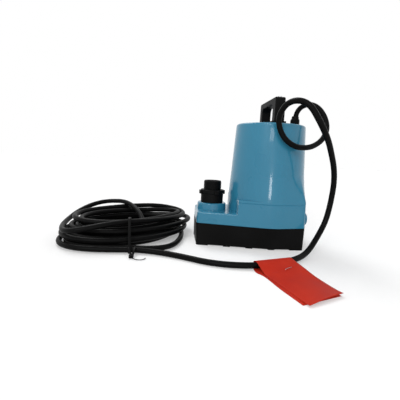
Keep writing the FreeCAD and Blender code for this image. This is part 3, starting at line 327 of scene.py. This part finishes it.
def make_cord(material):
    curve = bpy.data.curves.new("cord", "CURVE")
    curve.dimensions = "3D"
    spline = curve.splines.new("NURBS")
    points = cord_points()
    spline.points.add(len(points) - 1)
    for target, point in zip(spline.points, points):
        target.co = (*point, 1.0)
    spline.order_u = 3
    spline.use_endpoint_u = True
    spline.resolution_u = 6
    curve.bevel_depth = CORD_RADIUS
    curve.bevel_resolution = 5
    curve.use_fill_caps = True
    return rides(link(bpy.data.objects.new("cord", curve)), material,
                 ["cord_lead", "cord_coil"])


def smooth_path(points, per_run=8):
    """Points along a quadratic curve that starts and ends at the given ends."""
    points = [Vector(p) for p in points]
    path = [points[0]]
    for i in range(1, len(points) - 1):
        start = points[0] if i == 1 else (points[i - 1] + points[i]) * 0.5
        end = points[-1] if i == len(points) - 2 else (points[i] + points[i + 1]) * 0.5
        for j in range(1, per_run + 1):
            s = j / per_run
            path.append(start * (1 - s) ** 2 + points[i] * 2 * s * (1 - s) + end * s ** 2)
    return path


def swept(name, path, section, across, closed=False):
    """Tube of a flat section along a path; across gives the section's sideways direction."""
    verts = []
    faces = []
    count = len(path)
    sides = len(section)
    for i, point in enumerate(path):
        if closed:
            way = path[(i + 1) % count] - path[i - 1]
        else:
            way = path[min(i + 1, count - 1)] - path[max(i - 1, 0)]
        way.normalize()
        side = Vector(across)
        side = (side - way * side.dot(way)).normalized()
        out = side.cross(way)
        for sideways, outwards in section:
            verts.append(point + side * sideways + out * outwards)
    rings = count if closed else count - 1
    for i in range(rings):
        here = i * sides
        there = (i + 1) % count * sides
        for j in range(sides):
            k = (j + 1) % sides
            faces.append((here + j, here + k, there + k, there + j))
    if not closed:
        faces.append(tuple(reversed(range(sides))))
        faces.append(tuple(range((count - 1) * sides, count * sides)))
    return mesh_object(name, verts, faces)


# Materials; a noise factor stays mostly between these two values
NOISE_LOW = 0.3
NOISE_HIGH = 0.7


def node_material(name):
    """New material, its shader and the object's coordinates to place its patterns by."""
    material = bpy.data.materials.new(name)
    material.use_nodes = True
    nodes = material.node_tree.nodes
    shader = nodes["Principled BSDF"]
    place = nodes.new("ShaderNodeTexCoord")
    return material, shader, place


def bands(material, place, direction, scale):
    """Even bands across a direction, as in a stack of sheets or a winding of wire."""
    tree = material.node_tree
    wave = tree.nodes.new("ShaderNodeTexWave")
    wave.bands_direction = direction
    wave.inputs["Scale"].default_value = scale
    tree.links.new(place.outputs["Object"], wave.inputs["Vector"])
    return wave.outputs["Fac"]


def noise(material, place, scale, detail, stretch=(1.0, 1.0, 1.0)):
    """Cloudy factor; the scale is in lumps per metre, and a stretch under 1 draws them out."""
    tree = material.node_tree
    mapping = tree.nodes.new("ShaderNodeMapping")
    mapping.inputs["Scale"].default_value = stretch
    tree.links.new(place.outputs["Object"], mapping.inputs["Vector"])
    texture = tree.nodes.new("ShaderNodeTexNoise")
    texture.inputs["Scale"].default_value = scale
    texture.inputs["Detail"].default_value = detail
    tree.links.new(mapping.outputs["Vector"], texture.inputs["Vector"])
    return texture.outputs["Fac"]


def varied_colour(material, shader, factor, low, high, spread=(0.35, 0.65)):
    """Base colour between two colours, by a factor whose changes lie within the spread."""
    ramp = material.node_tree.nodes.new("ShaderNodeValToRGB")
    ramp.color_ramp.elements[0].position = spread[0]
    ramp.color_ramp.elements[0].color = (*low, 1.0)
    ramp.color_ramp.elements[1].position = spread[1]
    ramp.color_ramp.elements[1].color = (*high, 1.0)
    material.node_tree.links.new(factor, ramp.inputs["Fac"])
    material.node_tree.links.new(ramp.outputs["Color"], shader.inputs["Base Color"])


def varied_roughness(material, shader, factor, low, high):
    """Roughness between two values, by a cloudy factor."""
    spread = material.node_tree.nodes.new("ShaderNodeMapRange")
    spread.inputs["From Min"].default_value = NOISE_LOW
    spread.inputs["From Max"].default_value = NOISE_HIGH
    spread.inputs["To Min"].default_value = low
    spread.inputs["To Max"].default_value = high
    material.node_tree.links.new(factor, spread.inputs["Value"])
    material.node_tree.links.new(spread.outputs["Result"], shader.inputs["Roughness"])


def bumped(material, shader, heights):
    """Chain of bumps from (height, strength, distance) entries."""
    tree = material.node_tree
    before = None
    for height, strength, distance in heights:
        bump = tree.nodes.new("ShaderNodeBump")
        bump.inputs["Strength"].default_value = strength
        bump.inputs["Distance"].default_value = distance
        tree.links.new(height, bump.inputs["Height"])
        if before is not None:
            tree.links.new(before.outputs["Normal"], bump.inputs["Normal"])
        before = bump
    tree.links.new(before.outputs["Normal"], shader.inputs["Normal"])


def blue_paint():
    material, shader, place = node_material("blue_paint")
    cloud = noise(material, place, 9.0, 4.0)
    fine = noise(material, place, 900.0, 2.0)
    peel = noise(material, place, 230.0, 1.0)
    varied_colour(material, shader, cloud, (0.026, 0.193, 0.311), (0.031, 0.208, 0.329))
    varied_roughness(material, shader, cloud, 0.26, 0.34)
    bumped(material, shader, [(peel, 0.05, 0.0004), (fine, 0.03, 0.0001)])
    shader.inputs["Specular IOR Level"].default_value = 0.20
    shader.inputs["Coat Weight"].default_value = 0.44
    shader.inputs["Coat Roughness"].default_value = 0.05
    return material


def black_plastic(name="black_plastic", rough=0.46, low=(0.0022, 0.0022, 0.0022),
                  high=(0.0040, 0.0040, 0.0041)):
    material, shader, place = node_material(name)
    cloud = noise(material, place, 14.0, 3.0)
    grain = noise(material, place, 1800.0, 2.0)
    varied_colour(material, shader, cloud, low, high)
    varied_roughness(material, shader, cloud, rough - 0.05, rough + 0.08)
    bumped(material, shader, [(grain, 0.22, 0.00012)])
    shader.inputs["Specular IOR Level"].default_value = 0.07
    return material


def cord_jacket():
    material, shader, place = node_material("cord_jacket")
    cloud = noise(material, place, 26.0, 4.0)
    grain = noise(material, place, 1300.0, 3.0)
    dust = noise(material, place, 210.0, 5.0)
    varied_colour(material, shader, dust, (0.0020, 0.0020, 0.0020), (0.0046, 0.0046, 0.0045),
                  spread=(0.45, 0.85))
    varied_roughness(material, shader, cloud, 0.34, 0.48)
    bumped(material, shader, [(grain, 0.20, 0.00010)])
    shader.inputs["Specular IOR Level"].default_value = 0.06
    return material


def tag_vinyl():
    material, shader, place = node_material("tag_vinyl")
    cloud = noise(material, place, 22.0, 4.0)
    grain = noise(material, place, 700.0, 2.0)
    crease = noise(material, place, 60.0, 5.0, stretch=(1.0, 0.35, 1.0))
    varied_colour(material, shader, cloud, (0.42, 0.019, 0.008), (0.51, 0.029, 0.012))
    varied_roughness(material, shader, cloud, 0.42, 0.58)
    bumped(material, shader, [(crease, 0.22, 0.0006), (grain, 0.10, 0.00008)])
    shader.inputs["Specular IOR Level"].default_value = 0.07
    return material


def metal(name, low, high, rough, stretch=(1.0, 1.0, 1.0)):
    material, shader, place = node_material(name)
    cloud = noise(material, place, 30.0, 4.0)
    brushed = noise(material, place, 420.0, 3.0, stretch)
    varied_colour(material, shader, cloud, low, high)
    varied_roughness(material, shader, brushed, rough - 0.06, rough + 0.10)
    bumped(material, shader, [(brushed, 0.15, 0.00008)])
    shader.inputs["Metallic"].default_value = 1.0
    return material


def cast_metal():
    material, shader, place = node_material("cast_aluminium")
    cloud = noise(material, place, 40.0, 4.0)
    grain = noise(material, place, 600.0, 4.0)
    varied_colour(material, shader, cloud, (0.46, 0.46, 0.47), (0.60, 0.60, 0.61))
    varied_roughness(material, shader, grain, 0.45, 0.62)
    bumped(material, shader, [(grain, 0.5, 0.00020)])
    shader.inputs["Metallic"].default_value = 1.0
    return material


def laminations():
    material, shader, place = node_material("laminations")
    sheets = bands(material, place, "Z", 320.0)
    varied_colour(material, shader, sheets, (0.16, 0.16, 0.17), (0.34, 0.34, 0.35))
    bumped(material, shader, [(sheets, 0.5, 0.0002)])
    shader.inputs["Metallic"].default_value = 1.0
    shader.inputs["Roughness"].default_value = 0.42
    return material


def windings():
    material, shader, place = node_material("windings")
    wires = bands(material, place, "X", 420.0)
    varied_colour(material, shader, wires, (0.40, 0.12, 0.035), (0.62, 0.24, 0.08))
    bumped(material, shader, [(wires, 0.7, 0.0003)])
    shader.inputs["Metallic"].default_value = 0.7
    shader.inputs["Roughness"].default_value = 0.36
    return material


def soft_rubber(name, low, high, rough=0.62):
    material, shader, place = node_material(name)
    cloud = noise(material, place, 60.0, 3.0)
    grain = noise(material, place, 1500.0, 2.0)
    varied_colour(material, shader, cloud, low, high)
    varied_roughness(material, shader, cloud, rough - 0.05, rough + 0.05)
    bumped(material, shader, [(grain, 0.2, 0.0001)])
    return material


def glazed_ceramic():
    material, shader, place = node_material("seal_ceramic")
    cloud = noise(material, place, 80.0, 3.0)
    varied_colour(material, shader, cloud, (0.72, 0.71, 0.67), (0.82, 0.81, 0.78))
    varied_roughness(material, shader, cloud, 0.18, 0.28)
    return material


def make_materials():
    return {
        "blue_paint": blue_paint(),
        "black_plastic": black_plastic(),
        "cord_jacket": cord_jacket(),
        "tie_plastic": black_plastic("tie_plastic", 0.38),
        "tag_plastic": tag_vinyl(),
        "seal_rubber": soft_rubber("seal_rubber", (0.012, 0.012, 0.012), (0.022, 0.022, 0.022)),
        "screw_steel": metal("screw_steel", (0.46, 0.46, 0.47), (0.58, 0.58, 0.59), 0.30, (1.0, 1.0, 0.2)),
        "plug_brass": metal("plug_brass", (0.62, 0.44, 0.18), (0.74, 0.55, 0.26), 0.26),
        "lamination_steel": laminations(),
        "cast_aluminium": cast_metal(),
        "copper_wire": windings(),
        "bronze_bush": metal("bronze_bush", (0.34, 0.20, 0.09), (0.46, 0.29, 0.14), 0.42),
        "seal_ceramic": glazed_ceramic(),
        "grey_plastic": black_plastic("grey_plastic", 0.5, (0.07, 0.07, 0.075), (0.10, 0.10, 0.105)),
        "cutout_plastic": black_plastic("cutout_plastic", 0.30),
        "lead_wires": soft_rubber("lead_wires", (0.20, 0.20, 0.20), (0.26, 0.26, 0.26), 0.45),
    }


def dress_nodes(materials):
    """Give each node of the solid model the finish of its slot."""
    for row in frame["record"]["subparts"]:
        node = frame["nodes"][row["node"]]
        node.data.materials.clear()
        node.data.materials.append(materials[row["material_slot"]])


# Pieces on the cord

def band_points(radius):
    """Closed line round the bundle, at a distance from its corners."""
    count = len(TIE_CORNERS)
    corners = [Vector((TIE_X + TIE_SLANT * (y - TIE_FRONT), y, z)) for y, z in TIE_CORNERS]
    points = []
    for i in range(count):
        before = (corners[i] - corners[i - 1]).normalized()
        after = (corners[(i + 1) % count] - corners[i]).normalized()
        start = math.atan2(-before.y, before.z)
        end = math.atan2(-after.y, after.z)
        while end < start:
            end += TAU
        steps = max(3, int((end - start) / TIE_BEND_STEP))
        for step in range(steps + 1):
            angle = start + (end - start) * step / steps
            points.append(corners[i] + Vector((0.0, math.cos(angle), math.sin(angle))) * radius)
    return points


def rounded_strap(width, thickness, edge):
    """Section of a flat strap whose corners are cut by the edge."""
    w = width / 2.0
    t = thickness / 2.0
    return [(-w, -t + edge), (-w + edge, -t), (w - edge, -t), (w, -t + edge),
            (w, t - edge), (w - edge, t), (-w + edge, t), (-w, t - edge)]


def beveled_box(name, size, centre, bevel):
    x, y, z = (side / 2.0 for side in size)
    corners = [(-x, -y, -z), (x, -y, -z), (x, y, -z), (-x, y, -z),
               (-x, -y, z), (x, -y, z), (x, y, z), (-x, y, z)]
    faces = [(3, 2, 1, 0), (4, 5, 6, 7), (0, 1, 5, 4), (1, 2, 6, 5), (2, 3, 7, 6), (3, 0, 4, 7)]
    obj = mesh_object(name, [Vector(corner) + Vector(centre) for corner in corners], faces, smooth=False)
    rounding = obj.modifiers.new("rounding", "BEVEL")
    rounding.width = bevel
    rounding.segments = 3
    return obj


def make_tie(material):
    """Strap round the bundle; its loop hangs out in front, with the lock and a thin tail."""
    sideways = (1.0, 0.0, 0.0)
    upwards = (0.0, 0.0, 1.0)
    band_section = rounded_strap(TIE_WIDTH, TIE_THICKNESS, TIE_EDGE)
    leg_section = rounded_strap(TIE_LEG_WIDTH, TIE_THICKNESS, TIE_EDGE)
    tail_section = rounded_strap(TAIL_WIDTH, TAIL_THICKNESS, TAIL_EDGE)
    line = band_points(TIE_INSIDE_RADIUS + TIE_THICKNESS / 2.0)
    band = swept("tie_band", line, band_section, sideways, closed=True)
    rides(band, material, ["coil_tie"])
    lock = beveled_box("tie_lock", LOCK_SIZE, LOCK_PLACE, LOCK_BEVEL)
    pieces = [band, rides(lock, material)]
    for i, route in enumerate(TIE_LEGS):
        leg = swept("tie_leg_" + str(i + 1), smooth_path(route), leg_section, sideways)
        pieces.append(rides(leg, material))
    tail = swept("tie_tail", smooth_path(TIE_TAIL), tail_section, upwards)
    pieces.append(rides(tail, material))
    return pieces


def tag_point(place):
    """From the tag's own frame (along the fold, away from it, up) to the model's."""
    along, away, height = place
    return Vector((TAG_MIDDLE[0] + along * math.cos(TAG_ANGLE) + away * math.sin(TAG_ANGLE),
                   TAG_MIDDLE[1] + along * math.sin(TAG_ANGLE) - away * math.cos(TAG_ANGLE), height))


def make_tag(material):
    """Blank vinyl tag folded over the lead, run between its left and its right edge."""
    left = smooth_path(TAG_LEFT_EDGE, TAG_POINTS_PER_RUN)
    right = smooth_path(TAG_RIGHT_EDGE, TAG_POINTS_PER_RUN)
    verts = []
    faces = []
    for start, end in zip(left, right):
        far = eased((start.y - TAG_WAVE_FROM) / TAG_WAVE_LENGTH)
        for j in range(TAG_COLUMNS + 1):
            across = j / TAG_COLUMNS
            place = start.lerp(end, across)
            wave = TAG_WAVE * far * math.sin(math.pi * across) if place.z > LOWER_LEAF_TOP else 0.0
            verts.append(tag_point(place) + Vector((0.0, 0.0, wave)))
    row = TAG_COLUMNS + 1
    for i in range(len(left) - 1):
        for j in range(TAG_COLUMNS):
            corner = i * row + j
            faces.append((corner, corner + 1, corner + row + 1, corner + row))
    tag = mesh_object("tag", verts, faces)
    sheet = tag.modifiers.new("thickness", "SOLIDIFY")
    sheet.thickness = TAG_THICKNESS
    sheet.offset = 0.0
    return rides(tag, material, ["cord_tag"])


def make_staple(material):
    """Wire staple on the tag's upper leaf, with its ends bent down into it."""
    start, end = [tag_point(place) for place in STAPLE_ENDS]
    down = Vector((0.0, 0.0, -STAPLE_DEPTH))
    back = [start.lerp(end, STAPLE_BEND), start.lerp(end, 1.0 - STAPLE_BEND)]
    path = smooth_path([start + down, start, *back, end, end + down], per_run=3)
    section = rounded_strap(STAPLE_WIDTH, STAPLE_THICKNESS, STAPLE_EDGE)
    across = (0.3, -1.0, 0.0)
    staple = swept("tag_staple", path, section, across)
    return rides(staple, material)


# Thread of the discharge fitting

def make_thread(material):
    """Ridge that winds up the barrel, its section with two corners at the foot and two at the crest."""
    sides = 4
    turns = (THREAD_HIGH - THREAD_LOW) / THREAD_PITCH
    total = int(turns * THREAD_STEPS)
    foot = THREAD_RADIUS - THREAD_FOOT_DEPTH
    verts = []
    faces = []
    for i in range(total + 1):
        angle = TAU * i / THREAD_STEPS
        fade = eased(min(i, total - i) / (THREAD_STEPS * THREAD_FADE_TURNS))
        crest = THREAD_RADIUS - THREAD_CREST_DEPTH + THREAD_CREST_RISE * fade
        middle = THREAD_LOW + THREAD_PITCH * i / THREAD_STEPS
        corners = [(foot, -THREAD_FOOT_REACH), (crest, -THREAD_CREST_REACH),
                   (crest, THREAD_CREST_REACH), (foot, THREAD_FOOT_REACH)]
        for radius, rise in corners:
            verts.append((DISCHARGE_X + radius * math.cos(angle), radius * math.sin(angle), middle + rise))
    for i in range(total):
        here = i * sides
        there = here + sides
        for j in range(sides):
            k = (j + 1) % sides
            faces.append((here + j, here + k, there + k, there + j))
    faces.append(tuple(reversed(range(sides))))
    faces.append(tuple(range(total * sides, (total + 1) * sides)))
    return rides(mesh_object("fitting_thread", verts, faces), material)


# Floor, lamps and world

def seen_rays(tree):
    """1 for rays that show the background: to the camera, in gloss and through glass."""
    path = tree.nodes.new("ShaderNodeLightPath")
    seen = path.outputs["Is Camera Ray"]
    for kind in ("Is Glossy Ray", "Is Transmission Ray"):
        either = tree.nodes.new("ShaderNodeMath")
        either.operation = "MAXIMUM"
        tree.links.new(seen, either.inputs[0])
        tree.links.new(path.outputs[kind], either.inputs[1])
        seen = either.outputs["Value"]
    return seen


def make_floor():
    """Floor that looks as white as the world: grey, with a glow that only seen rays meet."""
    size = FLOOR_REACH
    corners = [(-size, -size, 0.0), (size, -size, 0.0), (size, size, 0.0), (-size, size, 0.0)]
    floor = mesh_object("floor", corners, [(0, 1, 2, 3)], smooth=False)
    material = bpy.data.materials.new("floor")
    material.use_nodes = True
    tree = material.node_tree
    tree.nodes.clear()
    diffuse = tree.nodes.new("ShaderNodeBsdfDiffuse")
    diffuse.inputs["Color"].default_value = (FLOOR_GREY, FLOOR_GREY, FLOOR_GREY, 1.0)
    glow = tree.nodes.new("ShaderNodeEmission")
    share = tree.nodes.new("ShaderNodeMath")
    share.operation = "MULTIPLY"
    share.inputs[1].default_value = FLOOR_GLOW
    both = tree.nodes.new("ShaderNodeAddShader")
    out = tree.nodes.new("ShaderNodeOutputMaterial")
    tree.links.new(seen_rays(tree), share.inputs[0])
    tree.links.new(share.outputs["Value"], glow.inputs["Strength"])
    tree.links.new(diffuse.outputs["BSDF"], both.inputs[0])
    tree.links.new(glow.outputs["Emission"], both.inputs[1])
    tree.links.new(both.outputs["Shader"], out.inputs["Surface"])
    floor.data.materials.append(material)


def make_sun(name, source, strength, softness):
    """Even light from one side, so that the floor is as bright far away as it is near."""
    data = bpy.data.lights.new(name, "SUN")
    data.energy = strength
    data.angle = math.radians(softness)
    lamp = link(bpy.data.objects.new(name, data))
    lamp.rotation_euler = Vector(source).to_track_quat("Z", "Y").to_euler()


def make_lamp(name, place, target, width, height, watts):
    data = bpy.data.lights.new(name, "AREA")
    data.shape = "RECTANGLE"
    data.size = width
    data.size_y = height
    data.energy = watts
    lamp = link(bpy.data.objects.new(name, data))
    lamp.location = place
    way = Vector(target) - Vector(place)
    lamp.rotation_euler = way.to_track_quat("-Z", "Y").to_euler()


def make_world():
    world = bpy.data.worlds.new("world")
    bpy.context.scene.world = world
    world.use_nodes = True
    tree = world.node_tree
    background = tree.nodes["Background"]
    strength = tree.nodes.new("ShaderNodeMapRange")
    strength.inputs["To Min"].default_value = WORLD_LIGHT
    strength.inputs["To Max"].default_value = WORLD_SEEN
    tree.links.new(seen_rays(tree), strength.inputs["Value"])
    tree.links.new(strength.outputs["Result"], background.inputs["Strength"])
    background.inputs["Color"].default_value = (1.0, 1.0, 1.0, 1.0)


def make_lights():
    for sun in SUNS:
        make_sun(*sun)
    for lamp in LAMPS:
        make_lamp(*lamp)


def main():
    bpy.context.scene.view_settings.view_transform = "Standard"
    make_camera()
    materials = make_materials()
    cord = make_cord(materials["cord_jacket"])
    tie = make_tie(materials["tie_plastic"])
    tag = make_tag(materials["tag_plastic"])
    staple = make_staple(materials["screw_steel"])
    dress_nodes(materials)
    make_thread(materials["black_plastic"])
    make_floor()
    make_world()
    make_lights()


main()
